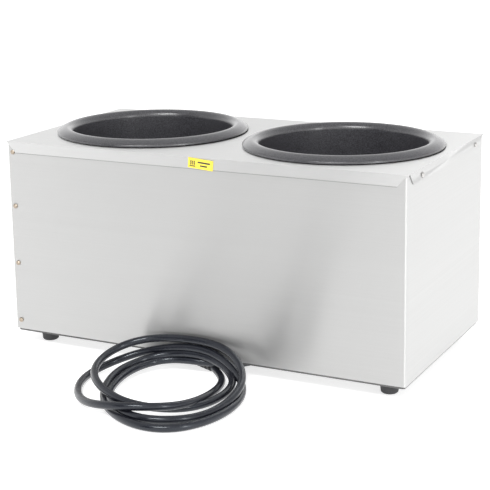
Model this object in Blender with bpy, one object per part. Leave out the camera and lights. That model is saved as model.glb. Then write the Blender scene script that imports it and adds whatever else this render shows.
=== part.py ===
"""Twin-well countertop warmer with a coiled mains lead, one object for each real piece.

Metres, +Z up.  The control side faces -Y, the plain rear faces +Y, and the feet stand on Z = 0.
All lengths below are in millimetres; MM turns them into metres where the meshes are made.
"""
import math

import bmesh
import bpy
from mathutils import Matrix, Vector

MM = 0.001
FIT = 0.3              # gap between pieces that touch

# Cabinet
BODY_W = 565.0
BODY_D = 286.0
WRAP_BOTTOM = 21.0
DECK_Z = 281.0         # top face of the deck
SHEET = 1.0
CORNER_R = 2.0
BASE_INSET = 2.0
BASE_LIP = 5.0         # the tray's raised border
BASE_BOTTOM = 18.0
BOTTOM_FLANGE = 12.0
DECK_FLANGE = 14.5
MITRE = 15.0           # rear and front deck flanges end in a mitre this long
SIDE_GAP_TOP = 7.6     # side deck flanges start this far from the corner
SIDE_GAP_BOTTOM = 20.6

# Wells
WELL_X = 142.0
WELL_R = 108.5
WELL_SHEET = 1.4
RIM_R = 130.6
CREST_R = 117.0
CREST_RISE = 9.9
RIM_EDGE_TOP = 3.9     # above the deck
RIM_EDGE_LOW = 1.6
WELL_DEPTH = 203.0     # below the deck
WELL_FLOOR_R = 22.0
DECK_HOLE_R = 113.0

# Heat
HEATER_R = 88.0
HEATER_T = 6.0
WRAP_IN_R = 116.5
WRAP_OUT_R = 127.0

# Controls, on the front panel
CONTROL_Z = 56.0
KNOB_R = 21.0
KNOB_LENGTH = 22.0
KNOB_STANDOFF = 5.5
DIAL_R = 29.0
SHAFT_R = 3.0
SHAFT_REACH = 14.0     # into the knob
BUSH_R = 4.9
THERMOSTAT_DEEP = 28.0
PILOT_OFFSET = 54.0    # from a knob's axis, towards the middle
PILOT_R = 6.2

# Heat sticker on the rear flange of the deck
LABEL_SIZE = (35.0, 12.8)
LABEL_X = -11.0
LABEL_DROP = 8.0
LABEL_TILT = -4.5

# Feet
FOOT_R = 12.7
FOOT_LOW_R = 11.0
FOOT_X = BODY_W / 2 - 32.5
FOOT_Y = BODY_D / 2 - 32.5

# The origin is under the middle of the cabinet with its knobs, lead left out
DECK_PROUD = SHEET + FIT
SCREW_HEAD = 2.2
KNOB_FACE = KNOB_STANDOFF + KNOB_LENGTH
BODY_Y = (KNOB_FACE - SCREW_HEAD - FIT) / 2
REAR = BODY_Y + BODY_D / 2
FRONT = BODY_Y - BODY_D / 2

# Mains lead.  Points are X, distance behind the rear panel, and height of the lead's middle.
LEAD_R = 4.9
COIL_OUTER = (3.0, 101.0, 112.0, 100.0)     # middle X, middle behind the panel, half width, half depth
COIL_INNER = (0.0, 87.5, 59.0, 69.5)
COIL_BACK = 1.6        # the pile leans on the rear panel
COIL_TOP = 24.0
COIL_LEAN = 24.6       # how much higher the pile is at the panel
RELIEF_ROOT = (22.0, -25.0, 8.7)
RELIEF_TIP = (-18.0, -5.0, 7.2)
LEAD_START = ((-20.2, -3.8, 7.0), (-26.0, 0.3, 6.2), (-33.0, 6.6, 5.4), (-41.0, 17.0, 5.0))
LEAD_END = ((-43.0, -3.2, 12.9), (-55.0, -13.5, 12.6), (-63.5, -28.5, 12.2), (-66.5, -45.5, 10.8),
            (-63.5, -62.5, 9.0), (-55.0, -77.5, 7.8), (-41.5, -89.0, 7.9), (-27.0, -94.5, 8.7))
PLUG_TAIL = LEAD_END[-1]
PLUG_HEADING = -12.0   # degrees from +X
PLUG_LENGTH = 51.0


def clear_scene():
    for item in list(bpy.data.objects):
        bpy.data.objects.remove(item, do_unlink=True)


def material(name, colour, roughness, metallic=0.0):
    made = bpy.data.materials.new(name)
    made.use_nodes = True
    shader = made.node_tree.nodes["Principled BSDF"]
    shader.inputs["Base Color"].default_value = (*colour, 1.0)
    shader.inputs["Roughness"].default_value = roughness
    shader.inputs["Metallic"].default_value = metallic
    return made


def add_object(name, mesh_maker, finish, smooth_deg=30.0):
    """Make an object from a bmesh in millimetres."""
    bmesh.ops.recalc_face_normals(mesh_maker, faces=mesh_maker.faces)
    bmesh.ops.scale(mesh_maker, vec=(MM, MM, MM), verts=mesh_maker.verts)
    mesh = bpy.data.meshes.new(name)
    mesh_maker.to_mesh(mesh)
    mesh_maker.free()
    mesh.shade_smooth()
    mesh.set_sharp_from_angle(angle=math.radians(smooth_deg))
    made = bpy.data.objects.new(name, mesh)
    bpy.context.collection.objects.link(made)
    if finish:
        mesh.materials.append(finish)
    return made


def place(made, x, y, z, turn=None):
    made.matrix_world = Matrix.Translation((x * MM, y * MM, z * MM)) @ (turn or Matrix.Identity(4))
    return made


def turned_mesh(profile, segments):
    """Spin a closed outline of (radius, height) points about Z."""
    shape = bmesh.new()
    points = [shape.verts.new((radius, 0.0, height)) for radius, height in profile]
    edges = [shape.edges.new(pair) for pair in zip(points, points[1:] + points[:1])]
    bmesh.ops.spin(shape, geom=points + edges, axis=(0, 0, 1), cent=(0, 0, 0),
                   angle=math.tau, steps=segments, use_merge=True)
    bmesh.ops.remove_doubles(shape, verts=shape.verts, dist=0.002)
    bmesh.ops.delete(shape, geom=[f for f in shape.faces if f.calc_area() < 1e-6], context="FACES")
    loose = [edge for edge in shape.edges if not edge.link_faces]
    bmesh.ops.delete(shape, geom=loose, context="EDGES")
    return shape


def turned(name, profile, segments, finish):
    return add_object(name, turned_mesh(profile, segments), finish)


def block_mesh(low, high):
    shape = bmesh.new()
    bmesh.ops.create_cube(shape, size=1.0)
    size = [top - bottom for bottom, top in zip(low, high)]
    middle = [(top + bottom) / 2 for bottom, top in zip(low, high)]
    bmesh.ops.scale(shape, vec=size, verts=shape.verts)
    bmesh.ops.translate(shape, vec=middle, verts=shape.verts)
    return shape


def block(name, low, high, finish):
    return add_object(name, block_mesh(low, high), finish)


def prism_mesh(outline, low, high, axis):
    """Extrude a flat outline along one axis; the outline gives the other two, in X, Y, Z order."""
    shape = bmesh.new()
    corners = []
    for first, second in outline:
        spot = [first, second]
        spot.insert(axis, low)
        corners.append(shape.verts.new(spot))
    face = shape.faces.new(corners)
    grown = bmesh.ops.extrude_face_region(shape, geom=[face])
    moved = [item for item in grown["geom"] if isinstance(item, bmesh.types.BMVert)]
    step = [0.0, 0.0, 0.0]
    step[axis] = high - low
    bmesh.ops.translate(shape, vec=step, verts=moved)
    return shape


def cylinder_mesh(radius, low, high, segments):
    shape = bmesh.new()
    bmesh.ops.create_cone(shape, cap_ends=True, segments=segments, radius1=radius, radius2=radius,
                          depth=high - low)
    bmesh.ops.translate(shape, vec=(0, 0, (low + high) / 2), verts=shape.verts)
    return shape


def cutter(name, mesh_maker):
    made = add_object(name, mesh_maker, None)
    made.hide_render = True
    made.display_type = "WIRE"
    return made


def combine(target, tool, operation="DIFFERENCE"):
    change = target.modifiers.new(tool.name, "BOOLEAN")
    change.object = tool
    change.operation = operation
    change.solver = "EXACT"


def rounded_outline(width, depth, radius, steps=3):
    """Corner points of a rounded rectangle about the origin, anticlockwise."""
    points = []
    for quarter, (side_x, side_y) in enumerate(((1, 1), (-1, 1), (-1, -1), (1, -1))):
        for step in range(steps + 1):
            angle = math.radians(90 * (quarter + step / steps))
            points.append((side_x * (width / 2 - radius) + radius * math.cos(angle),
                           side_y * (depth / 2 - radius) + radius * math.sin(angle)))
    return points


def walled_mesh(width, depth, radius, section):
    """A closed band round a rounded rectangle; section lists (inset, height) round the sheet."""
    shape = bmesh.new()
    rings = []
    for inset, height in section:
        outline = rounded_outline(width - 2 * inset, depth - 2 * inset, max(radius - inset, 0.4))
        rings.append([shape.verts.new((x, y, height)) for x, y in outline])
    for ring, following in zip(rings, rings[1:] + rings[:1]):
        for here in range(len(ring)):
            after = (here + 1) % len(ring)
            shape.faces.new((ring[here], ring[after], following[after], following[here]))
    return shape


def arc(middle, radius, start_deg, end_deg, steps):
    """Points of an arc in the (radius, height) plane."""
    points = []
    for step in range(steps + 1):
        angle = math.radians(start_deg + (end_deg - start_deg) * step / steps)
        points.append((middle[0] + radius * math.cos(angle), middle[1] + radius * math.sin(angle)))
    return points


def smooth_route(points, spacing):
    """Points about one spacing apart on a Catmull-Rom curve through the given ones."""
    spots = [Vector(point) for point in points]
    ends = [2 * spots[0] - spots[1]] + spots + [2 * spots[-1] - spots[-2]]
    route = [spots[0]]
    for before, here, after, later in zip(ends, ends[1:], ends[2:], ends[3:]):
        count = max(1, round((after - here).length / spacing))
        for step in range(1, count + 1):
            t = step / count
            bend = 2 * before - 5 * here + 4 * after - later
            twist = 3 * here - before - 3 * after + later
            route.append(0.5 * (2 * here + (after - before) * t + bend * t ** 2 + twist * t ** 3))
    return route


def pipe(name, points, radius, spacing, finish, resolution=2):
    curve = bpy.data.curves.new(name, "CURVE")
    curve.dimensions = "3D"
    curve.bevel_depth = radius * MM
    curve.bevel_resolution = resolution
    curve.use_fill_caps = True
    route = smooth_route(points, spacing)
    spline = curve.splines.new("POLY")
    spline.points.add(len(route) - 1)
    for point, spot in zip(spline.points, route):
        point.co = (spot.x * MM, spot.y * MM, spot.z * MM, 1.0)
    curve.materials.append(finish)
    made = bpy.data.objects.new(name, curve)
    bpy.context.collection.objects.link(made)
    return made


def behind(points):
    """Turn lead points, given from the rear panel, into the part's frame."""
    return [(x, REAR + back, height) for x, back, height in points]


# --- cabinet -----------------------------------------------------------------------------------

FACING = {"front": Matrix.Rotation(math.radians(90), 4, "X"),
          "rear": Matrix.Rotation(math.radians(-90), 4, "X"),
          "right": Matrix.Rotation(math.radians(90), 4, "Y"),
          "left": Matrix.Rotation(math.radians(-90), 4, "Y")}
SEAM_SCREWS = [(BODY_W / 2 - 8.0, REAR, WRAP_BOTTOM + rise) for rise in (12.4, 93.0, 172.0, 245.8)]
DECK_SCREW_Z = DECK_Z - 8.6
DECK_SCREWS = [(side * (BODY_W / 2 + DECK_PROUD), BODY_Y + along, DECK_SCREW_Z, facing)
               for side, facing in ((1, "right"), (-1, "left")) for along in (95.0, -108.6)]
SCREW_SHANK = 1.7


def hole_through(target, spot, facing, radius, reach=4.0, segments=16):
    name = f"cut_{target.name}_{len(target.modifiers)}"
    tool = cutter(name, cylinder_mesh(radius, -reach, reach, segments))
    place(tool, *spot, FACING[facing])
    combine(target, tool)


def make_wrapper(steel):
    top = DECK_Z - SHEET - FIT
    fold = WRAP_BOTTOM + SHEET
    section = ((0, WRAP_BOTTOM), (0, top), (SHEET, top), (SHEET, fold), (BOTTOM_FLANGE, fold),
               (BOTTOM_FLANGE, WRAP_BOTTOM))
    wrapper = add_object("body_wrapper", walled_mesh(BODY_W, BODY_D, CORNER_R, section), steel)
    place(wrapper, 0, BODY_Y, 0)
    for x in (-WELL_X, WELL_X):
        hole_through(wrapper, (x, FRONT, CONTROL_Z), "front", BUSH_R + 0.4)
        pilot_x = x - math.copysign(PILOT_OFFSET, x)
        hole_through(wrapper, (pilot_x, FRONT, CONTROL_Z), "front", PILOT_R + FIT)
    for spot in SEAM_SCREWS:
        hole_through(wrapper, spot, "rear", SCREW_SHANK + FIT, segments=10)
    for x, y, z, facing in DECK_SCREWS:
        hole_through(wrapper, (x, y, z), facing, SCREW_SHANK + FIT, segments=10)


def make_deck(steel):
    half_w = BODY_W / 2 + DECK_PROUD
    half_d = BODY_D / 2 + DECK_PROUD
    low = DECK_Z - DECK_FLANGE
    deck = block("top_deck", (-half_w, -half_d, low), (half_w, half_d, DECK_Z), steel)
    place(deck, 0, BODY_Y, 0)
    inner_w, inner_d = half_w - SHEET, half_d - SHEET
    tools = [block_mesh((-inner_w, -inner_d, low - 5), (inner_w, inner_d, DECK_Z - SHEET))]
    for x in (-WELL_X, WELL_X):
        bore = cylinder_mesh(DECK_HOLE_R, DECK_Z - 3, DECK_Z + 3, 48)
        bmesh.ops.translate(bore, vec=(x, 0, 0), verts=bore.verts)
        tools.append(bore)
    fold = DECK_Z - SHEET
    for side in (-1, 1):
        for end in (-1, 1):
            mitre = [(side * (half_w + 2), fold), (side * (half_w - SHEET), fold),
                     (side * (half_w - MITRE), low - 1), (side * (half_w + 2), low - 1)]
            tools.append(prism_mesh(mitre, *sorted((end * (half_d - SHEET - 0.1), end * (half_d + 2))), 1))
            slant = [(end * (half_d + 2), fold), (end * (half_d - SIDE_GAP_TOP), fold),
                     (end * (half_d - SIDE_GAP_BOTTOM), low - 1), (end * (half_d + 2), low - 1)]
            tools.append(prism_mesh(slant, *sorted((side * (half_w - SHEET - 0.1), side * (half_w + 2))), 0))
    for count, shape in enumerate(tools):
        tool = cutter(f"cut_deck_{count}", shape)
        place(tool, 0, BODY_Y, 0)
        combine(deck, tool)
    for x, y, z, facing in DECK_SCREWS:
        hole_through(deck, (x, y, z), facing, SCREW_SHANK + FIT, segments=10)


def make_base(steel):
    width = BODY_W - 2 * BASE_INSET
    depth = BODY_D - 2 * BASE_INSET
    outline = rounded_outline(width, depth, 3.0)
    base = add_object("base_pan", prism_mesh(outline, BASE_BOTTOM, WRAP_BOTTOM - FIT, 2), steel)
    place(base, 0, BODY_Y, 0)
    half_w, half_d = width / 2 - BASE_LIP, depth / 2 - BASE_LIP
    tray = cutter("cut_base_tray", block_mesh((-half_w, -half_d, BASE_BOTTOM + SHEET),
                                              (half_w, half_d, WRAP_BOTTOM + 5)))
    place(tray, 0, BODY_Y, 0)
    combine(base, tray)
    holes = [(x, BODY_Y + y, 2.6) for x in (-FOOT_X, FOOT_X) for y in (-FOOT_Y, FOOT_Y)]
    holes.append((RELIEF_ROOT[0], REAR + RELIEF_ROOT[1], 7.6))
    for count, (x, y, radius) in enumerate(holes):
        tool = cutter(f"cut_base_{count}", cylinder_mesh(radius, BASE_BOTTOM - 3, BASE_BOTTOM + 5, 16))
        place(tool, x, y, 0)
        combine(base, tool)


def screw_profile(head_r, head_h, shank_r, shank):
    return [(0, head_h), (head_r * 0.6, head_h * 0.9), (head_r * 0.93, head_h * 0.5), (head_r, 0),
            (shank_r, 0), (shank_r, -shank), (0, -shank - 0.8)]


def make_cabinet_screws(steel):
    head = screw_profile(3.3, SCREW_HEAD, SCREW_SHANK, 6.0)
    for count, (x, y, z) in enumerate(SEAM_SCREWS, 1):
        place(turned(f"seam_screw_{count}", head, 12, steel), x, y + FIT, z, FACING["rear"])
    for count, (x, y, z, facing) in enumerate(DECK_SCREWS, 1):
        proud = math.copysign(FIT, x)
        place(turned(f"deck_screw_{count}", head, 12, steel), x + proud, y, z, FACING[facing])


def make_label(yellow):
    """A plain heat sticker on the rear flange of the deck, a few degrees out of level."""
    half_w, half_h = LABEL_SIZE[0] / 2, LABEL_SIZE[1] / 2
    sticker = add_object("heat_label", block_mesh((-half_w, 0.0, -half_h), (half_w, 0.35, half_h)), yellow)
    place(sticker, LABEL_X, REAR + DECK_PROUD + FIT, DECK_Z - LABEL_DROP,
          Matrix.Rotation(math.radians(LABEL_TILT), 4, "Y"))


def make_feet(rubber, steel):
    high = BASE_BOTTOM - FIT
    foot = [(3.2, 6.5), (3.2, high), (FOOT_R, high), (FOOT_LOW_R, 1.6), (FOOT_LOW_R - 1.6, 0),
            (6.6, 0), (6.6, 6.5)]
    screw = [(0, 3.4), (4.6, 3.6), (5.6, 4.6), (5.6, 6.2), (2.3, 6.2), (2.3, 26.0), (0, 26.0)]
    for count, (side, end) in enumerate(((-1, -1), (1, -1), (-1, 1), (1, 1)), 1):
        place(turned(f"foot_{count}", foot, 24, rubber), side * FOOT_X, BODY_Y + end * FOOT_Y, 0)
        place(turned(f"foot_screw_{count}", screw, 12, steel), side * FOOT_X, BODY_Y + end * FOOT_Y, 0)


# --- wells and heat ----------------------------------------------------------------------------

def well_profile():
    """Section of a drawn pan with a wide domed rim, outer face first."""
    bend = CREST_RISE - 0.5
    floor_z = DECK_Z - WELL_DEPTH
    crest = DECK_Z + CREST_RISE
    inner = [(0, floor_z)]
    inner += arc((WELL_R - WELL_FLOOR_R, floor_z + WELL_FLOOR_R), WELL_FLOOR_R, -90, 0, 3)
    inner += arc((WELL_R + bend, crest - bend), bend, 180, 90, 5)
    inner += [(RIM_R - 7.0, DECK_Z + 7.4), (RIM_R - 1.2, DECK_Z + RIM_EDGE_TOP + 0.7),
              (RIM_R, DECK_Z + RIM_EDGE_TOP - 0.4)]
    outer_r = WELL_R + WELL_SHEET
    outer = [(RIM_R, DECK_Z + RIM_EDGE_LOW), (RIM_R - WELL_SHEET, DECK_Z + RIM_EDGE_LOW),
             (RIM_R - WELL_SHEET, DECK_Z + RIM_EDGE_TOP - 1.2), (CREST_R + 4, crest - WELL_SHEET - 1.0)]
    outer += arc((WELL_R + bend, crest - bend), bend - WELL_SHEET, 90, 180, 3)
    outer += arc((WELL_R - WELL_FLOOR_R, floor_z + WELL_FLOOR_R), outer_r - WELL_R + WELL_FLOOR_R, 0, -90, 2)
    outer += [(0, floor_z - WELL_SHEET)]
    return inner + outer


def make_wells(coating, heater_steel, wool, steel, brass):
    under = DECK_Z - WELL_DEPTH - WELL_SHEET - FIT
    for side, x in (("right", -WELL_X), ("left", WELL_X)):
        place(turned(f"well_{side}", well_profile(), 48, coating), x, BODY_Y, 0)
        plate = [(0, under), (HEATER_R - 5, under), (HEATER_R - 5, under - HEATER_T), (0, under - HEATER_T)]
        place(turned(f"heater_plate_{side}", plate, 28, heater_steel), x, BODY_Y, 0)
        jacket = [(WRAP_IN_R, 124), (WRAP_IN_R, 258), (WRAP_OUT_R, 258), (WRAP_OUT_R, 124)]
        place(turned(f"insulation_{side}", jacket, 28, wool), x, BODY_Y, 0)
        make_bracket(side, x, under - HEATER_T - FIT, steel)
        cutout = [(0, 0), (8, 0), (8, -9), (0, -9)]
        place(turned(f"high_limit_{side}", cutout, 16, brass), x + 38, BODY_Y, under - HEATER_T - FIT)


def make_bracket(side, x, top, steel):
    """Strip that holds the heater plate up against the well, standing on the base pan."""
    foot_z = BASE_BOTTOM + SHEET + FIT
    half, foot, strip = 64.0, 16.0, 1.5
    over_foot = foot_z + strip
    line = [(-half - foot, foot_z), (-half, foot_z), (-half, top - strip), (half, top - strip),
            (half, foot_z), (half + foot, foot_z), (half + foot, over_foot), (half + strip, over_foot),
            (half + strip, top), (-half - strip, top), (-half - strip, over_foot), (-half - foot, over_foot)]
    bracket = add_object(f"heater_bracket_{side}", prism_mesh(line, -11, 11, 0), steel)
    place(bracket, x, BODY_Y, 0)


# --- controls ----------------------------------------------------------------------------------

def make_controls(parts):
    for side, x in (("right", -WELL_X), ("left", WELL_X)):
        make_thermostat(side, x, parts)
        make_pilot(side, x - math.copysign(PILOT_OFFSET, x), parts)


def make_thermostat(side, x, parts):
    """Body and bush behind the panel; the shaft turns in the bush with the knob on its end."""
    inside = SHEET + FIT
    spot = (x, FRONT, CONTROL_Z)
    case = prism_mesh(rounded_outline(32, 38, 3.0), -inside - THERMOSTAT_DEEP, -inside, 2)
    body = add_object(f"thermostat_body_{side}", case, parts["phenolic"])
    place(body, *spot, FACING["front"])
    bush = cutter(f"join_bush_{side}", cylinder_mesh(BUSH_R, -inside - 2, 4.6, 20))
    bore = cutter(f"cut_bush_{side}", cylinder_mesh(SHAFT_R + 0.35, -12.0, 6, 20))
    for tool, operation in ((bush, "UNION"), (bore, "DIFFERENCE")):
        place(tool, *spot, FACING["front"])
        combine(body, tool, operation)
    plate = [(BUSH_R + FIT, FIT), (DIAL_R, FIT), (DIAL_R, FIT + 0.7), (BUSH_R + FIT, FIT + 0.7)]
    place(turned(f"dial_plate_{side}", plate, 32, parts["dial"]), *spot, FACING["front"])
    nut_bore = (BUSH_R + FIT) / math.cos(math.radians(30))
    nut = [(nut_bore, 1.3), (8.8, 1.3), (8.8, 3.9), (nut_bore, 3.9)]
    place(turned(f"bush_nut_{side}", nut, 6, parts["steel"]), *spot, FACING["front"])
    tip = KNOB_STANDOFF + SHAFT_REACH
    shaft = [(0, -11.4), (SHAFT_R, -11.4), (SHAFT_R, tip), (0, tip)]
    place(turned(f"thermostat_shaft_{side}", shaft, 20, parts["steel"]), *spot, FACING["front"])
    grip_r, back, face = KNOB_R * 0.78, KNOB_STANDOFF, KNOB_FACE
    socket = SHAFT_R + FIT
    knob = [(0, tip + FIT), (socket, tip + FIT), (socket, back), (KNOB_R - 1, back), (KNOB_R, back + 1),
            (KNOB_R, back + 4.5), (grip_r + 1.5, back + 6.5), (grip_r, back + 8), (grip_r - 0.8, face - 1.5),
            (grip_r - 2.3, face), (0, face)]
    grip = turned(f"knob_{side}", knob, 32, parts["phenolic"])
    place(grip, *spot, FACING["front"])
    flank = 6.4
    for count, sign in enumerate((-1, 1)):
        past = sign * 30
        pinch = [(sign * flank, back + 8.5), (past, back + 8.5), (past, face + 5), (sign * flank, face + 5)]
        tool = cutter(f"cut_knob_{side}_{count}", prism_mesh(pinch, -25, 25, 1))
        place(tool, *spot, FACING["front"])
        combine(grip, tool)
    outward = math.copysign(1.0, x)
    beside_well = BODY_Y - WELL_R - 5.0
    sense = [(x + 8, FRONT + 24, CONTROL_Z + 19.6), (x + 8, FRONT + 24, CONTROL_Z + 34)]
    sense += [(x + 5, beside_well, height) for height in (110, 150, 190)]
    pipe(f"sensing_bulb_{side}", sense, 1.9, 9.0, parts["copper"])
    wire = [(x - outward * 10, FRONT + 31.5, CONTROL_Z - 6), (x - outward * 24, FRONT + 58, 32),
            (x - outward * 60, FRONT + 120, 24.5), (outward * 52, BODY_Y + 45, 25.5),
            (outward * 30, BODY_Y + 57, 27)]
    pipe(f"heater_lead_{side}", wire, 1.8, 14.0, parts["wire"])


def make_pilot(side, x, parts):
    spot = (x, FRONT, CONTROL_Z)
    collar = PILOT_R + 1.8
    holder = [(0, -22), (4.5, -22), (4.5, -9), (PILOT_R, -9), (PILOT_R, 0.4), (collar, 0.4), (collar, 2.0),
              (5.0, 2.0), (5.0, -6.0), (0, -6.0)]
    place(turned(f"pilot_body_{side}", holder, 20, parts["phenolic"]), *spot, FACING["front"])
    lens = [(0, -5.6), (4.7, -5.6), (4.7, 3.2), (3.6, 4.8), (0, 5.6)]
    place(turned(f"pilot_lens_{side}", lens, 20, parts["amber"]), *spot, FACING["front"])


def make_wiring(parts):
    floor_z = BASE_BOTTOM + SHEET + FIT
    terminals = block("terminal_block", (-26, BODY_Y + 60, floor_z), (26, BODY_Y + 84, floor_z + 18),
                      parts["phenolic"])
    for count, x in enumerate((-16, 0, 16)):
        slot = block_mesh((x - 3.4, BODY_Y + 55, floor_z + 12), (x + 3.4, BODY_Y + 90, floor_z + 25))
        combine(terminals, cutter(f"cut_terminals_{count}", slot))
    stud = [(0, 0), (6.5, 0), (6.5, 3.0), (2.4, 3.0), (2.4, 12), (0, 12)]
    place(turned("ground_stud", stud, 12, parts["steel"]), 52, BODY_Y + 86, floor_z)
    x, back, _ = RELIEF_ROOT
    supply = [(x, REAR + back, 28.4), (x, REAR + back, 34), (x - 4, BODY_Y + 110, 38),
              (x - 10, BODY_Y + 98, 33), (x - 12, BODY_Y + 88, 29)]
    pipe("supply_lead", supply, 3.6, 9.0, parts["cord"])


# --- mains lead --------------------------------------------------------------------------------

def relief_mesh():
    """Ribbed tail along +Z, its wide end at the elbow."""
    length = (Vector(RELIEF_TIP) - Vector(RELIEF_ROOT)).length
    wide, narrow, ribs, groove, plain = 8.0, 6.3, 4, 1.5, 9.0
    outline = [(0, 0), (wide, 0), (wide, plain)]
    pitch = (length - plain) / ribs
    for rib in range(ribs):
        start = plain + rib * pitch
        radius = wide + (narrow - wide) * (rib + 1) / ribs
        outline += [(radius - groove, start + 0.6), (radius - groove, start + pitch * 0.36),
                    (radius, start + pitch * 0.46), (radius, start + pitch)]
    return turned_mesh(outline + [(0, length)], 20)


def aim(start, finish):
    """Matrix that puts +Z along the line from start to finish, at start."""
    way = Vector(finish) - Vector(start)
    turn = way.to_track_quat("Z", "Y").to_matrix().to_4x4()
    return Matrix.Translation(Vector(start) * MM) @ turn


def make_relief(rubber):
    root, tip = behind((RELIEF_ROOT, RELIEF_TIP))
    tail = add_object("strain_relief", relief_mesh(), rubber)
    tail.matrix_world = aim(root, tip)
    neck = [(0, 3.0), (8.2, 3.0), (10.4, 14.6), (10.4, BASE_BOTTOM - FIT), (7.2, BASE_BOTTOM - FIT),
            (7.2, 21.4), (8.6, 23.0), (6.4, 28.0), (0, 28.0)]
    elbow = cutter("join_relief_elbow", turned_mesh(neck, 24))
    place(elbow, root[0], root[1], 0)
    combine(tail, elbow, "UNION")


def coil_mesh():
    """Outer shape of the piled turns: a ring that is high where it leans on the rear panel."""
    shape = bmesh.new()
    rings = []
    steps = 32
    round_off = 5.0
    for step in range(steps):
        angle = math.tau * step / steps
        east, north = math.cos(angle), math.sin(angle)
        top = COIL_TOP + COIL_LEAN * max(0.0, -north) ** 1.5
        section = ((1, -round_off, 0.2), (1, 0, round_off), (1, 0, top - round_off), (1, -round_off, top),
                   (0, round_off, top), (0, 0, top - round_off), (0, 0, round_off), (0, round_off, 0.2))
        ring = []
        for is_outer, grow, height in section:
            x, back, half_w, half_d = COIL_OUTER if is_outer else COIL_INNER
            depth = max(back + (half_d + grow) * north, COIL_BACK)
            ring.append(shape.verts.new((x + (half_w + grow) * east, REAR + depth, height)))
        rings.append(ring)
    for ring, following in zip(rings, rings[1:] + rings[:1]):
        for here in range(len(ring)):
            after = (here + 1) % len(ring)
            shape.faces.new((ring[here], ring[after], following[after], following[here]))
    return shape


def make_lead(parts):
    cord = parts["cord"]
    pipe("cord_start", behind(LEAD_START), LEAD_R, 14.0, cord)
    pipe("cord_end", behind(LEAD_END), LEAD_R, 14.0, cord)
    coil = add_object("cord_coil", coil_mesh(), cord)
    tunnel = cutter("cut_coil_tunnel", block_mesh((-47.5, REAR - 6, -2), (34, REAR + 20.4, 11.4)))
    combine(coil, tunnel)


def make_plug(parts):
    """Moulded three-pin plug lying flat: ribbed neck, body, two blades and a ground pin."""
    x, back, height = PLUG_TAIL
    heading = math.radians(PLUG_HEADING)
    way = Vector((math.cos(heading), math.sin(heading), 0))
    across = Vector((-way.y, way.x, 0))
    start = Vector((x, REAR + back, height)) + way * 1.5
    neck = [(0, 0), (6.2, 0), (6.2, 4), (5.6, 4.4), (5.6, 6.4), (6.8, 6.8), (6.8, 11), (6.2, 11.4),
            (6.2, 13.4), (7.6, 13.8), (7.6, 22), (0, 22)]
    plug = add_object("plug_body", turned_mesh(neck, 16), parts["rubber"])
    plug.matrix_world = aim(start, start + way)
    shell = bmesh.new()
    rings = []
    sections = ((17, 14, 12), (24, 21, 15.8), (30, 24.5, 16.8), (48, 25.5, 16.8), (PLUG_LENGTH, 25, 16.4))
    for along, wide, thick in sections:
        middle = start + way * along
        outline = rounded_outline(wide, thick, 5.0, 2)
        rings.append([shell.verts.new(middle + across * a + Vector((0, 0, b))) for a, b in outline])
    for ring, following in zip(rings, rings[1:]):
        for here in range(len(ring)):
            after = (here + 1) % len(ring)
            shell.faces.new((ring[here], ring[after], following[after], following[here]))
    shell.faces.new(rings[0])
    shell.faces.new(list(reversed(rings[-1])))
    combine(plug, cutter("join_plug_shell", shell), "UNION")
    face = start + way * (PLUG_LENGTH + FIT)
    for name, rise in (("plug_blade_1", 6.35), ("plug_blade_2", -6.35)):
        blade = add_object(name, block_mesh((-3.15, -0.75, 0), (3.15, 0.75, 17)), parts["brass"])
        root = face - across * 4.6 + Vector((0, 0, rise))
        blade.matrix_world = aim(root, root + way)
    pin = turned("plug_ground_pin", [(0, 0), (2.4, 0), (2.4, 18), (1.2, 20), (0, 20)], 12, parts["brass"])
    pin.matrix_world = aim(face + across * 7.3, face + across * 7.3 + way)


def main():
    clear_scene()
    parts = {
        "steel": material("brushed stainless", (0.66, 0.66, 0.65), 0.32, 1.0),
        "coating": material("black non-stick coating", (0.035, 0.036, 0.038), 0.38),
        "rubber": material("black rubber", (0.03, 0.03, 0.032), 0.7),
        "cord": material("black cord jacket", (0.035, 0.035, 0.04), 0.45),
        "phenolic": material("black phenolic", (0.02, 0.02, 0.02), 0.4),
        "dial": material("dial plate", (0.08, 0.08, 0.085), 0.45, 0.6),
        "heater": material("heater steel", (0.32, 0.31, 0.3), 0.55, 1.0),
        "wool": material("mineral wool", (0.62, 0.58, 0.48), 0.95),
        "brass": material("brass", (0.72, 0.55, 0.28), 0.35, 1.0),
        "copper": material("copper tube", (0.72, 0.4, 0.26), 0.35, 1.0),
        "amber": material("amber lens", (0.85, 0.3, 0.04), 0.2),
        "wire": material("white silicone wire", (0.75, 0.74, 0.7), 0.6),
        "yellow": material("yellow sticker", (0.9, 0.72, 0.08), 0.5),
    }
    make_wrapper(parts["steel"])
    make_deck(parts["steel"])
    make_base(parts["steel"])
    make_cabinet_screws(parts["steel"])
    make_label(parts["yellow"])
    make_feet(parts["rubber"], parts["steel"])
    make_wells(parts["coating"], parts["heater"], parts["wool"], parts["steel"], parts["brass"])
    make_controls(parts)
    make_wiring(parts)
    make_relief(parts["rubber"])
    make_lead(parts)
    make_plug(parts)


main()
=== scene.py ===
"""Looks for a twin-well countertop warmer seen from its rear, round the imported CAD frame."""
import math

import bmesh
import bpy
from mathutils import Euler, Matrix, Vector


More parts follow.
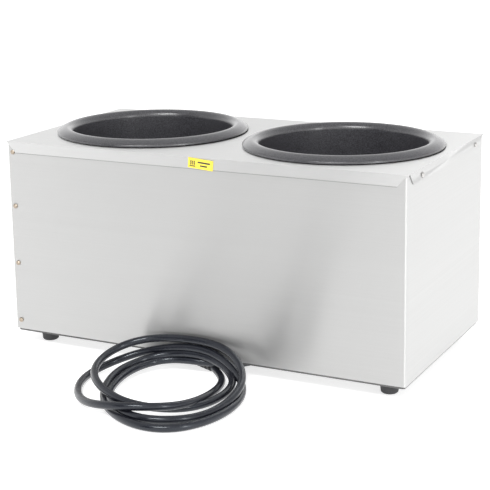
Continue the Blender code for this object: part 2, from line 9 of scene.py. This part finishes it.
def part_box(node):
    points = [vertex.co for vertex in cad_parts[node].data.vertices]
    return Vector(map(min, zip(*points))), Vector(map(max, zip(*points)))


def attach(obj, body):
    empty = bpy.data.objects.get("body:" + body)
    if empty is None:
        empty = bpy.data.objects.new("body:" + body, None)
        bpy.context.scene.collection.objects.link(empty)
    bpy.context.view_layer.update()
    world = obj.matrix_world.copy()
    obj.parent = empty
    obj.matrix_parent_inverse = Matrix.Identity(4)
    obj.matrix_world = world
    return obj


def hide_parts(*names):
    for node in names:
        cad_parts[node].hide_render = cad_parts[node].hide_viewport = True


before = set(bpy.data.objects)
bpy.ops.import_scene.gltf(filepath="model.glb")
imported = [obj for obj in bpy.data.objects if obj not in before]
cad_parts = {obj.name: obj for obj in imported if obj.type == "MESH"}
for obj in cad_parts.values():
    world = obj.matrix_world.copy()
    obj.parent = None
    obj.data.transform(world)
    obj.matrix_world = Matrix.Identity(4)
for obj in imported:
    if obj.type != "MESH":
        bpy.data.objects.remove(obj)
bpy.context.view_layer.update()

MM = 0.001
CABINET = "cabinet"
SIDES = ("right", "left")
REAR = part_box("body_wrapper")[1][1]          # the plain rear panel
DECK_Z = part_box("top_deck")[1][2]

# --- camera ------------------------------------------------------------------------------------

CAMERA_PLACE = (-0.8357, 1.6543, 0.6230)
CAMERA_AZIMUTH = 26.71                       # degrees off the rear panel's normal
CAMERA_DOWN = 12.28
CAMERA_ROLL = -0.84
LENS = 103.23
SHIFT = (-0.01453, -0.13137)


def make_camera():
    azimuth, down, roll = (math.radians(a) for a in (CAMERA_AZIMUTH, CAMERA_DOWN, CAMERA_ROLL))
    back = Vector((-math.sin(azimuth) * math.cos(down), math.cos(azimuth) * math.cos(down), math.sin(down)))
    right = Vector((0, 0, 1)).cross(back).normalized()
    up = back.cross(right)
    turned_right = right * math.cos(roll) + up * math.sin(roll)
    turned_up = up * math.cos(roll) - right * math.sin(roll)
    camera = bpy.data.objects.new("camera", bpy.data.cameras.new("camera"))
    bpy.context.collection.objects.link(camera)
    turn = Matrix((turned_right, turned_up, back)).transposed().to_4x4()
    camera.matrix_world = Matrix.Translation(CAMERA_PLACE) @ turn
    camera.data.sensor_width = 36.0
    camera.data.lens = LENS
    camera.data.shift_x, camera.data.shift_y = SHIFT
    bpy.context.scene.camera = camera


# --- shader nodes ------------------------------------------------------------------------------

class Nodes:
    """Short ways to add nodes to one shader tree."""

    def __init__(self, tree):
        self.tree = tree
        self.coords = tree.nodes.new("ShaderNodeTexCoord")

    def link(self, output, socket):
        self.tree.links.new(output, socket)

    def axis(self, output, axis):
        """One axis of a kind of texture coordinate."""
        split = self.tree.nodes.new("ShaderNodeSeparateXYZ")
        self.link(self.coords.outputs[output], split.inputs["Vector"])
        return split.outputs[axis]

    def work_out(self, operation, first, second=0.0):
        node = self.tree.nodes.new("ShaderNodeMath")
        node.operation = operation
        for socket, value in zip(node.inputs, (first, second)):
            if isinstance(value, float):
                socket.default_value = value
            else:
                self.link(value, socket)
        return node.outputs[0]

    def spread(self, value, low, high, start=0.3, end=0.7, ease="LINEAR"):
        """A number that is low where the value is at start and high where it is at end."""
        ranged = self.tree.nodes.new("ShaderNodeMapRange")
        ranged.interpolation_type = ease
        for socket, number in (("From Min", start), ("From Max", end), ("To Min", low), ("To Max", high)):
            ranged.inputs[socket].default_value = number
        self.link(value, ranged.inputs["Value"])
        return ranged.outputs["Result"]


class Look(Nodes):
    """A Principled material whose textures hang on object coordinates."""

    def __init__(self, name, colour, roughness, metallic=0.0, **sockets):
        self.material = bpy.data.materials.new(name)
        self.material.use_nodes = True
        super().__init__(self.material.node_tree)
        self.shader = self.tree.nodes["Principled BSDF"]
        self.shader.inputs["Base Color"].default_value = (*colour, 1.0)
        self.shader.inputs["Roughness"].default_value = roughness
        self.shader.inputs["Metallic"].default_value = metallic
        for socket, value in sockets.items():
            self.shader.inputs[socket.replace("_", " ")].default_value = value

    def noise(self, stretch, detail=4.0):
        """Noise whose grains per metre are given for each axis (few is long)."""
        mapping = self.tree.nodes.new("ShaderNodeMapping")
        mapping.inputs["Scale"].default_value = stretch
        texture = self.tree.nodes.new("ShaderNodeTexNoise")
        texture.inputs["Scale"].default_value = 1.0
        texture.inputs["Detail"].default_value = detail
        self.link(self.coords.outputs["Object"], mapping.inputs["Vector"])
        self.link(mapping.outputs["Vector"], texture.inputs["Vector"])
        return texture.outputs["Fac"]

    def roughness_from(self, value, low, high):
        self.link(self.spread(value, low, high), self.shader.inputs["Roughness"])

    def colour_from(self, value, dark, light, start=0.3, end=0.7):
        ramp = self.tree.nodes.new("ShaderNodeValToRGB")
        for element, position, colour in zip(ramp.color_ramp.elements, (start, end), (dark, light)):
            element.position = position
            element.color = (*colour, 1.0)
        self.link(value, ramp.inputs["Fac"])
        self.link(ramp.outputs["Color"], self.shader.inputs["Base Color"])

    def bump_from(self, value, strength, depth):
        node = self.tree.nodes.new("ShaderNodeBump")
        node.inputs["Strength"].default_value = strength
        node.inputs["Distance"].default_value = depth
        self.link(value, node.inputs["Height"])
        self.link(node.outputs["Normal"], self.shader.inputs["Normal"])

    def mottle(self, grain, dark, light):
        """Let the colour wander from dark to light."""
        self.colour_from(self.noise((grain, grain, grain)), dark, light)

    def pit(self, grain, strength, depth):
        """Roughen the surface evenly all over."""
        self.bump_from(self.noise((grain, grain, grain)), strength, depth)

    def darken(self, value, least, start, end):
        """Multiply the colour by least where the value is at start, rising to one at end."""
        colour = self.shader.inputs["Base Color"].links[0].from_socket
        scale = self.tree.nodes.new("ShaderNodeVectorMath")
        scale.operation = "SCALE"
        self.link(colour, scale.inputs["Vector"])
        self.link(self.spread(value, least, 1.0, start, end), scale.inputs["Scale"])
        self.link(scale.outputs["Vector"], self.shader.inputs["Base Color"])


# --- sheet steel -------------------------------------------------------------------------------

LINE_GLOSS = 0.05            # how far the lines' roughness strays from the steel's
STREAK_STRETCH = 0.35        # grains of colour against those of the lines
STREAK_SHADE = 0.97          # the darkest streak against the steel's own colour

# Painted shadow: a dark line painted into the panel's colour under the deck's folded rear flange, where the
# flange shades it
FLANGE_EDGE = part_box("top_deck")[0][2]        # lower edge of the flanges
MITRE = 15 * MM                               # the line stops this far short of the deck's ends
FLANGE_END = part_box("top_deck")[1][0] - MITRE
FLANGE_SHADOW_SHARE = 0.4                              # share of the panel's colour left in it
FLANGE_SHADOW_CORE, FLANGE_SHADOW_HALF = 0.4 * MM, 1.3 * MM     # how far from the edge it is darkest, and fades out


def brushed(name, colour, metallic, lines, roughness, smear, around, turn):
    """Sheet steel with fine brushed lines, whose highlights smear across them.

    lines is the grains per metre along each axis, smear is the share of anisotropy, around is the axis
    that the tangent runs round, and turn is the share of a full turn from that tangent to the smear.
    """
    look = Look(name, colour, roughness, metallic, Anisotropic=smear, Anisotropic_Rotation=turn)
    tangent = look.tree.nodes.new("ShaderNodeTangent")
    tangent.direction_type = "RADIAL"
    tangent.axis = around
    look.link(tangent.outputs["Tangent"], look.shader.inputs["Tangent"])
    fine = look.noise(lines, detail=5.0)
    look.roughness_from(fine, roughness - LINE_GLOSS, roughness + LINE_GLOSS)
    look.bump_from(fine, strength=0.03, depth=0.03 * MM)
    streaks = look.noise(tuple(grains * STREAK_STRETCH for grains in lines), detail=3.0)
    look.colour_from(streaks, tuple(channel * STREAK_SHADE for channel in colour), colour)
    return look


def panel_steel():
    look = brushed("brushed_panel", (0.59, 0.59, 0.585), metallic=0.82, lines=(2.5, 2.5, 3600.0),
                   roughness=0.34, smear=0.975, around="Z", turn=0.25)
    # Painted shadow: the panel's colour is darkened along the flange's lower edge, stopping short of the
    # deck's ends
    off_edge = look.work_out("ABSOLUTE", look.work_out("SUBTRACT", look.axis("Object", "Z"), FLANGE_EDGE))
    off_middle = look.work_out("ABSOLUTE", look.axis("Object", "X"))
    past_end = look.work_out("SUBTRACT", off_middle, FLANGE_END)
    look.darken(look.work_out("MAXIMUM", off_edge, past_end), FLANGE_SHADOW_SHARE, FLANGE_SHADOW_CORE, FLANGE_SHADOW_HALF)
    return look


def deck_steel():
    """Steel with painted shade: its colour is darker on the deck's upright flanges, and darker again on those
    at its ends, by the way each face turns.
    """
    look = brushed("brushed_deck", (0.92, 0.92, 0.915), metallic=1.0, lines=(2.5, 2600.0, 2600.0),
                   roughness=0.40, smear=0.96, around="X", turn=0.0)
    # Painted shade on the upright flanges, set by the faces' normals
    look.darken(look.axis("Normal", "Z"), least=0.86, start=0.2, end=0.8)
    # More painted shade on the flanges that face along X, at the deck's ends
    look.darken(look.work_out("ABSOLUTE", look.axis("Normal", "X")), least=0.80, start=1.0, end=0.8)
    return look


# --- other materials ---------------------------------------------------------------------------

def coating():
    """Speckled non-stick coating of the wells."""
    look = Look("nonstick_coating", (0.045, 0.046, 0.05), 0.36, Coat_Weight=0.75, Coat_Roughness=0.22)
    speckle = look.noise((800, 800, 800), detail=3.0)
    look.colour_from(speckle, (0.016, 0.015, 0.018), (0.070, 0.070, 0.079), start=0.35, end=0.68)
    look.bump_from(speckle, strength=0.6, depth=0.4 * MM)
    return look


def rubber():
    look = Look("rubber", (0.035, 0.035, 0.038), 0.6)
    look.pit(1200, strength=0.2, depth=0.1 * MM)
    look.mottle(60, (0.024, 0.024, 0.026), (0.045, 0.045, 0.048))
    return look


def jacket():
    """Smooth black sheath of the mains lead."""
    look = Look("cord_jacket", (0.012, 0.0125, 0.018), 0.26, Specular_IOR_Level=0.4,
                Specular_Tint=(0.85, 0.93, 1, 1), Coat_Weight=0.25, Coat_Roughness=0.12)
    look.pit(500, strength=0.12, depth=0.1 * MM)
    look.mottle(40, (0.009, 0.0095, 0.014), (0.015, 0.016, 0.022))
    return look


def phenolic():
    """Hard black moulding of the knobs and the parts inside."""
    look = Look("black_phenolic", (0.02, 0.02, 0.022), 0.34, Coat_Weight=0.2)
    look.pit(800, strength=0.1, depth=0.1 * MM)
    look.mottle(70, (0.014, 0.014, 0.015), (0.03, 0.03, 0.032))
    return look


def amber():
    look = Look("amber_lens", (0.85, 0.30, 0.04), 0.15, Transmission_Weight=0.5)
    look.mottle(200, (0.78, 0.25, 0.03), (0.90, 0.36, 0.06))
    return look


def wool():
    look = Look("mineral_wool", (0.62, 0.58, 0.48), 0.95)
    look.mottle(300, (0.50, 0.46, 0.36), (0.70, 0.66, 0.56))
    look.pit(500, strength=0.6, depth=1.0 * MM)
    return look


MADE = {"panel": panel_steel, "deck": deck_steel, "coating": coating, "rubber": rubber, "jacket": jacket,
        "phenolic": phenolic, "amber": amber, "wool": wool}

# Name, colour, roughness, share of metal, grains per metre, and the colour's darkest and lightest
MOTTLED = {
    "steel_screw": ("deck_screw_head", (0.50, 0.49, 0.47), 0.35, 1.0, 900,
                    (0.46, 0.45, 0.44), (0.72, 0.71, 0.69)),
    "screw": ("screw_head", (0.45, 0.38, 0.30), 0.42, 1.0, 900,
              (0.30, 0.24, 0.18), (0.55, 0.48, 0.40)),
    # The base pan's dark colour is painted shade: it stands in for the shadow in the gap under the panels
    "base": ("base_pan_painted_shade", (0.16, 0.16, 0.16), 0.6, 0.8, 25,
             (0.12, 0.12, 0.12), (0.20, 0.20, 0.20)),
    "heater": ("heater_steel", (0.32, 0.31, 0.30), 0.55, 1.0, 50,
               (0.24, 0.22, 0.20), (0.38, 0.37, 0.36)),
    "sticker": ("yellow_sticker", (0.88, 0.70, 0.06), 0.38, 0.0, 90,
                (0.84, 0.65, 0.05), (0.92, 0.74, 0.08)),
    "ink": ("sticker_ink", (0.03, 0.03, 0.03), 0.5, 0.0, 900,
            (0.02, 0.02, 0.02), (0.05, 0.05, 0.05)),
    "white": ("pointer_white", (0.85, 0.85, 0.83), 0.5, 0.0, 500,
              (0.80, 0.80, 0.78), (0.88, 0.88, 0.86)),
    "wire": ("silicone_wire", (0.75, 0.74, 0.70), 0.6, 0.0, 80,
             (0.70, 0.69, 0.65), (0.80, 0.79, 0.75)),
}

# Name, colour, roughness, share of metal, grains per metre along each axis, and least and most roughness
DRAWN = {
    "dial": ("dark_dial", (0.08, 0.08, 0.085), 0.4, 0.7, (6, 6, 1500), 0.32, 0.5),
    "brass": ("brass", (0.72, 0.55, 0.28), 0.32, 1.0, (700, 700, 60), 0.25, 0.42),
    "copper": ("copper", (0.72, 0.40, 0.26), 0.35, 1.0, (600, 600, 60), 0.28, 0.45),
}


def make_looks():
    looks = {key: make().material for key, make in MADE.items()}
    for key, (name, colour, roughness, metallic, grain, dark, light) in MOTTLED.items():
        look = Look(name, colour, roughness, metallic)
        look.mottle(grain, dark, light)
        looks[key] = look.material
    for key, (name, colour, roughness, metallic, grains, least, most) in DRAWN.items():
        look = Look(name, colour, roughness, metallic)
        look.roughness_from(look.noise(grains), least, most)
        looks[key] = look.material
    return looks


# How the names of CAD nodes start, and the look of each; the first that fits counts
NODE_LOOKS = (("body_wrapper", "panel"), ("top_deck", "deck"), ("base_pan", "base"),
              ("seam_screw", "screw"), ("deck_screw", "steel_screw"), ("foot_screw", "screw"),
              ("foot_", "rubber"), ("well_", "coating"), ("heater_plate", "heater"),
              ("heater_bracket", "heater"), ("heater_lead", "wire"), ("insulation", "wool"),
              ("high_limit", "brass"), ("thermostat_body", "phenolic"), ("thermostat_shaft", "screw"),
              ("knob", "phenolic"), ("dial_plate", "dial"), ("bush_nut", "screw"),
              ("sensing_bulb", "copper"), ("pilot_body", "phenolic"), ("pilot_lens", "amber"),
              ("terminal_block", "phenolic"), ("ground_stud", "screw"), ("supply_lead", "jacket"),
              ("strain_relief", "rubber"), ("cord_", "jacket"), ("plug_body", "rubber"),
              ("plug_", "brass"), ("heat_label", "sticker"))
FOLDS = (("top_deck", 0.5), ("base_pan", 0.3))     # bevels along the folds of the sheet, in millimetres
FOLD_ANGLE = 50                                    # an edge that turns more than this is a fold


def dress_nodes(looks):
    for name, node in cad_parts.items():
        key = next(look for start, look in NODE_LOOKS if name.startswith(start))
        node.data.materials.clear()
        node.data.materials.append(looks[key])
    for name, width in FOLDS:
        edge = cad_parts[name].modifiers.new("folded_edges", "BEVEL")
        edge.width = width * MM
        edge.segments = 2
        edge.limit_method = "ANGLE"
        edge.angle_limit = math.radians(FOLD_ANGLE)


# --- meshes ------------------------------------------------------------------------------------

SHARP_ANGLE = 40                          # an edge that turns more than this many degrees stays sharp


def link_mesh(name, shape, look):
    """A piece made from a bmesh, smooth but for its sharp edges."""
    mesh = bpy.data.meshes.new(name)
    bmesh.ops.recalc_face_normals(shape, faces=shape.faces)
    shape.to_mesh(mesh)
    shape.free()
    mesh.shade_smooth()
    mesh.set_sharp_from_angle(angle=math.radians(SHARP_ANGLE))
    mesh.materials.append(look)
    piece = bpy.data.objects.new(name, mesh)
    bpy.context.collection.objects.link(piece)
    return piece


def box_ends(node):
    """A node's lowest and highest corners and the middle between them."""
    low, high = (Vector(corner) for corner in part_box(node))
    return low, high, (low + high) / 2


def bar(shape, low, high):
    made = bmesh.ops.create_cube(shape, size=1.0)["verts"]
    size = [b - a for a, b in zip(low, high)]
    bmesh.ops.scale(shape, vec=size, verts=made)
    bmesh.ops.translate(shape, vec=[(a + b) / 2 for a, b in zip(low, high)], verts=made)


# --- mains lead --------------------------------------------------------------------------------

# X, distance behind the rear panel, and height, in millimetres. Start and end are as in the part
LEAD_R = 4.9
LEAD_START = ((-20.2, -3.8, 7.0), (-26.0, 0.3, 6.2), (-33.0, 6.6, 5.4), (-41.0, 17.0, 5.0))
LEAD_JOIN = ((-55.0, 30.0, 5.0), (-66.0, 48.0, 5.0))
LEAD_END = ((-43.0, -3.2, 12.9), (-55.0, -13.5, 12.6), (-63.5, -28.5, 12.2), (-66.5, -45.5, 10.8),
            (-63.5, -62.5, 9.0), (-55.0, -77.5, 7.8), (-41.5, -89.0, 7.9), (-27.0, -94.5, 8.7))
LIFT = 0.1                                # least gap under the lead

# Each turn: the edges it reaches to the right, front, left and back, the share of the turn gone by at its
# front, and its climb as (share of the turn gone by, level)
TURNS = (((-72, 189, 118, 6.5), 0.225, ((-0.08, 5.5), (0.20, 20), (0.36, 5), (0.51, 5), (0.78, 36.5))),
         ((-107, 204, 80, 6.5), 0.195, ((-0.09, 6), (0.02, 5), (0.39, 5), (0.52, 12), (0.77, 27))),
         ((-81, 161, 105, 6.5), 0.225,
          ((-0.10, 10), (0.10, 6), (0.22, 11), (0.40, 20), (0.75, 45), (0.80, 44.5))),
         ((-101, 190, 69.5, 6.5), 0.225,
          ((-0.03, 16), (0.07, 5.5), (0.18, 8.5), (0.32, 9), (0.44, 6), (0.54, 10.5), (0.74, 16))))
LEFT_AT = 0.50                            # share of a turn gone by at its left
BACK_FROM, BACK_UNTIL = 0.69, 0.80        # and where it comes up to the panel and leaves it
BACK_DRIFT = 1.5                          # it draws this much nearer the panel in between
COIL_ENTRY = (-0.21, 14)                  # share and distance from the panel, before the first turn
COIL_EXIT_X = -62                         # the right edge that the last turn swings back towards
TURNS_END = 3.79
POINTS_PER_TURN = 28


def swing(keys, when):
    """The value at a time, easing from each (time, value) key to the next along half a cosine."""
    for (start, before), (end, after) in zip(keys, keys[1:]):
        if when <= end:
            break
    share = min(max((when - start) / (end - start), 0.0), 1.0)
    return before + (after - before) * (1 - math.cos(math.pi * share)) / 2


def coil_turns():
    across, depth, level = [], [COIL_ENTRY], []
    for turn, ((right, front, left, back), front_at, climb) in enumerate(TURNS):
        across += [(turn, right), (turn + LEFT_AT, left)]
        depth += [(turn + front_at, front), (turn + BACK_FROM, back + BACK_DRIFT), (turn + BACK_UNTIL, back)]
        level += [(turn + share, height) for share, height in climb]
    across.append((len(TURNS), COIL_EXIT_X))
    count = round(TURNS_END * POINTS_PER_TURN)
    times = [TURNS_END * step / count for step in range(1, count + 1)]
    return [(swing(across, time), swing(depth, time), swing(level, time)) for time in times]


def lead_route():
    """The lead's points, smoothed twice between its two ends."""
    points = [Vector(point) for point in (*LEAD_START, *LEAD_JOIN, *coil_turns(), *LEAD_END)]
    for _ in range(2):
        inner = [(a + 2 * b + c) / 4 for a, b, c in zip(points, points[1:], points[2:])]
        points = [points[0], *inner, points[-1]]
    return points


def make_lead(looks):
    """One cord from the strain relief, round its four loose turns, to the plug under the cabinet."""
    points = lead_route()
    curve = bpy.data.curves.new("mains_lead", "CURVE")
    curve.dimensions = "3D"
    curve.bevel_depth = LEAD_R * MM
    curve.bevel_resolution = 5
    curve.use_fill_caps = True
    spline = curve.splines.new("NURBS")
    spline.points.add(len(points) - 1)
    spline.order_u = 4
    spline.use_endpoint_u = True
    spline.resolution_u = 3
    for point, spot in zip(spline.points, points):
        point.co = (spot.x * MM, REAR + spot.y * MM, max(spot.z, LEAD_R + LIFT) * MM, 1.0)
    curve.materials.append(looks["jacket"])
    lead = bpy.data.objects.new("mains_lead", curve)
    bpy.context.collection.objects.link(lead)
    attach(lead, CABINET)
    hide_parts("cord_start", "cord_coil", "cord_end")


# --- wells -------------------------------------------------------------------------------------

# Section of a well in millimetres, from its axis and the top of the deck: the part's, with a finer rim
WELL_INNER_R = 108.5
WELL_RIM_R = 130.6
WELL_SHEET = 1.4
WELL_DEPTH = 203.0
WELL_CORNER = 22.0
RIM_RISE = 9.9
RIM_BEND = 9.4
RIM_FALL = ((121.0, 9.2), (124.2, 7.9), (127.4, 6.2), (129.3, 5.0), (130.2, 4.2), (WELL_RIM_R, 3.5))
RIM_UNDERSIDE = ((121.0, 7.2), (117.9, RIM_RISE - WELL_SHEET))
RIM_FOOT, RIM_FOOT_INSIDE = 1.6, 2.7      # heights of the rim's edge, outside and behind it
WELL_AXIS_R = 0.01                        # a hole at the axis, which the weld closes
WELL_STEPS = 144
WELD = 0.03 * MM


def arc(middle, radius, start, end, steps):
    """Points round a middle from one angle to another, in degrees."""
    angles = [math.radians(start + (end - start) * step / steps) for step in range(steps + 1)]
    return [(middle[0] + radius * math.cos(angle), middle[1] + radius * math.sin(angle)) for angle in angles]


def well_outline():
    """The inner face from the floor up, over the rim, and back down the outside."""
    corner = (WELL_INNER_R - WELL_CORNER, WELL_CORNER - WELL_DEPTH)
    behind_rim = WELL_RIM_R - WELL_SHEET
    below_floor = -WELL_DEPTH - WELL_SHEET
    return [(WELL_AXIS_R, -WELL_DEPTH),
            *arc(corner, WELL_CORNER, -90, 0, 8),
            *arc((WELL_INNER_R + RIM_BEND, RIM_RISE - RIM_BEND), RIM_BEND, 180, 90, 14),
            *RIM_FALL, (WELL_RIM_R, RIM_FOOT), (behind_rim, RIM_FOOT), (behind_rim, RIM_FOOT_INSIDE),
            *RIM_UNDERSIDE, (WELL_INNER_R + WELL_SHEET, 0.0), (WELL_INNER_R + WELL_SHEET, corner[1]),
            (corner[0], below_floor), (WELL_AXIS_R, below_floor)]


def turned(outline, x, y, z):
    """An outline in millimetres turned once round the upright axis through a place."""
    shape = bmesh.new()
    rings = []
    for radius, height in outline:
        ring = []
        for step in range(WELL_STEPS):
            angle = math.tau * step / WELL_STEPS
            ring.append(shape.verts.new((x + radius * MM * math.cos(angle), y + radius * MM * math.sin(angle),
                                         z + height * MM)))
        rings.append(ring)
    for ring, following in zip(rings, rings[1:]):
        for here in range(WELL_STEPS):
            after = (here + 1) % WELL_STEPS
            shape.faces.new((ring[here], ring[after], following[after], following[here]))
    bmesh.ops.remove_doubles(shape, verts=shape.verts, dist=WELD)
    return shape


def make_wells(looks):
    for side in SIDES:
        middle = box_ends(f"well_{side}")[2]
        shape = turned(well_outline(), middle.x, middle.y, DECK_Z)
        well = link_mesh(f"well_{side}_fine", shape, looks["coating"])
        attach(well, CABINET)
        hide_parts(f"well_{side}")


# --- sticker -----------------------------------------------------------------------------------

# Marks in millimetres from the sticker's middle, before they are tilted with it
MARK_THICK = 0.08
MARK_OFF = 0.02                           # gap in front of the sticker's face
STICKER_TILT = -4.5                       # degrees
WAVES_X, WAVE_GAP, WAVE_HALF = 11.0, 2.6, 0.7     # the middle wave, the next one, and half a stroke
WAVE_FOOT, WAVE_STEP, WAVE_DASH = -2.2, 0.62, 0.66     # each wave is a stack of short dashes
WAVE_DASHES = 9
WAVE_SWAY, WAVE_TURN = 0.5, 1.4           # how far they sway, and radians of sway from dash to dash
STICKER_BARS = (((6.8, -4.3), (15.2, -3.0)), ((-13.5, 0.9), (4.0, 2.9)), ((-9.5, -3.2), (0.5, -1.3)))


def make_sticker_marks(looks):
    """Generic marks on the sticker: three rising waves of heat over a plate, and two plain bars."""
    _, high, middle = box_ends("heat_label")
    shape = bmesh.new()
    for wave in (-1, 0, 1):
        for step in range(WAVE_DASHES):
            rise = WAVE_FOOT + WAVE_STEP * step
            x = WAVES_X + wave * WAVE_GAP + WAVE_SWAY * math.sin(step * WAVE_TURN)
            bar(shape, (x - WAVE_HALF, 0, rise), (x + WAVE_HALF, MARK_THICK, rise + WAVE_DASH))
    for (left, bottom), (right, top) in STICKER_BARS:
        bar(shape, (left, 0, bottom), (right, MARK_THICK, top))
    bmesh.ops.scale(shape, vec=(MM, MM, MM), verts=shape.verts)
    tilt = Euler((0, math.radians(STICKER_TILT), 0)).to_matrix()
    bmesh.ops.rotate(shape, matrix=tilt, cent=(0, 0, 0), verts=shape.verts)
    bmesh.ops.translate(shape, vec=(middle.x, high.y + MARK_OFF * MM, middle.z), verts=shape.verts)
    marks = link_mesh("sticker_marks", shape, looks["ink"])
    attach(marks, CABINET)


# --- knobs and dials ---------------------------------------------------------------------------

# Millimetres from the knob's axis. Both kinds of mark stand half proud of the face they are on
POINTER_HALF, POINTER_FROM, POINTER_TO = 0.7, 3, 13.5
TICK_HALF, TICK_FROM, TICK_TO = 0.35, 23.2, 26.6
MARK_HALF = 0.1
TICKS_OFF = 0.05                          # middle of the ticks in front of the dial plate
TICKS, TICK_TURN = 10, 30                 # clockwise from off, in degrees


def radial_bar(shape, half_width, start, end):
    """A mark that stands above the axis, from one distance to another."""
    bar(shape, (-half_width * MM, -MARK_HALF * MM, start * MM), (half_width * MM, MARK_HALF * MM, end * MM))


def make_knob_marks(looks):
    """A white pointer line on each knob and plain ticks on each dial."""
    for side in SIDES:
        low, _, middle = box_ends(f"knob_{side}")
        pointer = bmesh.new()
        radial_bar(pointer, POINTER_HALF, POINTER_FROM, POINTER_TO)
        bmesh.ops.translate(pointer, vec=(middle.x, low.y, middle.z), verts=pointer.verts)
        piece = link_mesh(f"knob_pointer_{side}", pointer, looks["white"])
        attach(piece, f"knob_{side}")
        plate_low = box_ends(f"dial_plate_{side}")[0]
        ticks = bmesh.new()
        for step in range(TICKS):
            start = len(ticks.verts)
            radial_bar(ticks, TICK_HALF, TICK_FROM, TICK_TO)
            made = list(ticks.verts)[start:]
            turn = Matrix.Rotation(math.radians(TICK_TURN * step), 3, "Y")
            bmesh.ops.rotate(ticks, matrix=turn, cent=(0, 0, 0), verts=made)
        bmesh.ops.translate(ticks, vec=(middle.x, plate_low.y - TICKS_OFF * MM, middle.z), verts=ticks.verts)
        piece = link_mesh(f"dial_ticks_{side}", ticks, looks["white"])
        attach(piece, CABINET)


# --- stage -------------------------------------------------------------------------------------

FLOOR_REACH = 14.0
FLOOR_DROP = 0.5 * MM

# The sky: strength at the horizon and overhead, and the height of its direction where that is reached
HORIZON, ZENITH, ZENITH_AT = 1.50, 0.75, 0.7

# An unlit stretch of room. Its middle is in degrees from +Y towards +X, and its core and edge are off that
UNLIT_HEADING = 23.0
UNLIT_CORE = 10.5
UNLIT_EDGE = 14.0
UNLIT_SHARE = 0.02


def make_stage():
    """White floor that gives off a little light itself, so that shadows stay faint."""
    look = Look("stage_white", (0.64, 0.64, 0.64), 0.9, Emission_Color=(1, 1, 1, 1), Emission_Strength=0.72)
    shape = bmesh.new()
    bmesh.ops.create_grid(shape, x_segments=1, y_segments=1, size=FLOOR_REACH)
    floor = link_mesh("floor", shape, look.material)
    floor.location.z = -FLOOR_DROP


def add_light(name, place, aim, size, power):
    data = bpy.data.lights.new(name, "AREA")
    data.energy = power
    data.shape = "RECTANGLE"
    data.size, data.size_y = size
    light = bpy.data.objects.new(name, data)
    bpy.context.collection.objects.link(light)
    light.location = place
    light.rotation_euler = (Vector(aim) - Vector(place)).to_track_quat("-Z", "Y").to_euler()


def make_sky():
    """Bright at the horizon, less so overhead, with an unlit stretch of room that faces the rear panel.

    The unlit stretch is what darkens the middle of that panel, which mirrors it.
    """
    world = bpy.data.worlds.new("studio")
    world.use_nodes = True
    sky = Nodes(world.node_tree)
    heading = sky.work_out("ARCTAN2", sky.axis("Generated", "X"), sky.axis("Generated", "Y"))
    off_unlit = sky.work_out("ABSOLUTE", sky.work_out("SUBTRACT", heading, math.radians(UNLIT_HEADING)))
    unlit = sky.spread(off_unlit, UNLIT_SHARE, 1.0, math.radians(UNLIT_CORE), math.radians(UNLIT_EDGE),
                       ease="SMOOTHSTEP")
    lit = sky.spread(sky.axis("Generated", "Z"), HORIZON, ZENITH, 0.0, ZENITH_AT, ease="SMOOTHSTEP")
    background = sky.tree.nodes["Background"]
    background.inputs["Color"].default_value = (1.0, 1.0, 1.0, 1.0)
    sky.link(sky.work_out("MULTIPLY", lit, unlit), background.inputs["Strength"])
    bpy.context.scene.world = world


def make_light():
    make_sky()
    add_light("key", place=(-0.2, 2.4, 2.4), aim=(0, 0.1, 0.2), size=(1.4, 0.5), power=55)
    add_light("strip", place=(-2.2, 1.2, 0.9), aim=(-0.3, 0.1, 0.2), size=(0.25, 1.8), power=14)
    bpy.context.scene.view_settings.view_transform = "Standard"


make_camera()
looks = make_looks()
dress_nodes(looks)
make_lead(looks)
make_wells(looks)
make_sticker_marks(looks)
make_knob_marks(looks)
make_stage()
make_light()
